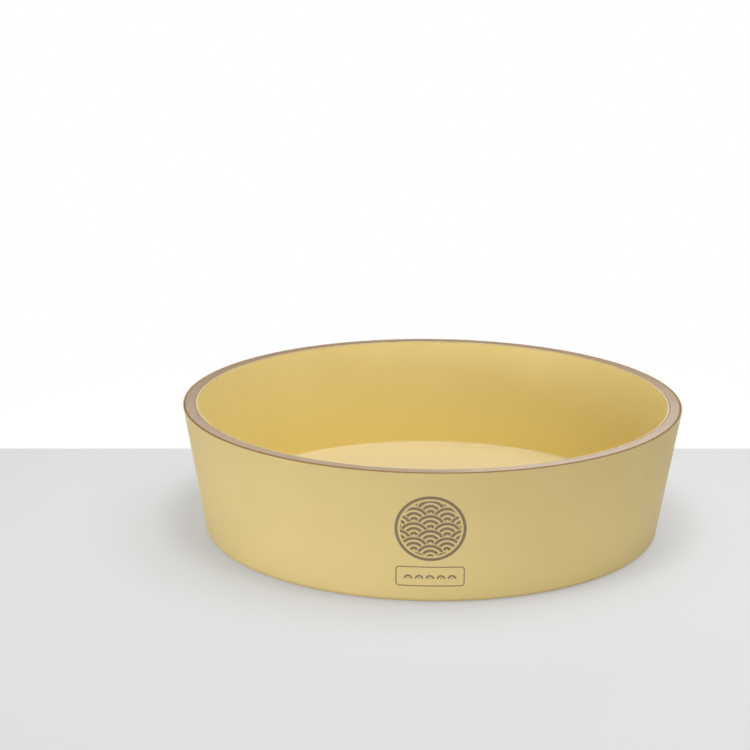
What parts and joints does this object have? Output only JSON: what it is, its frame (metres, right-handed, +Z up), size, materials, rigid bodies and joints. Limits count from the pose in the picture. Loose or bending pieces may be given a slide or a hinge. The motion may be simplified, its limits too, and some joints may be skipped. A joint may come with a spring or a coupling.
{
  "type": "sushi rice tub",
  "caption": "Wide, low round tub with a flared double wall, flat floor and flush rim ring, for dressing and mixing cooked sushi rice.",
  "frame": {"origin": "centre of the foot, on the surface that the tub stands on", "axes": "+Z up along the tub's axis; the printed mark on the wall faces -Y"},
  "size_m": [0.4797, 0.4798, 0.127],
  "materials": {
    "cream_body": "satin moulded polyethylene, cream-yellow",
    "brown_ring": "semi-gloss brown plastic with fine streaks round the ring",
    "printed_ink": "flat dark brown print"
  },
  "bodies": {
    "root": {"outer_shell": "cream_body", "inner_bowl": "cream_body", "rim_ring": "brown_ring", "front_mark": "printed_ink"}
  },
  "joints": []
}
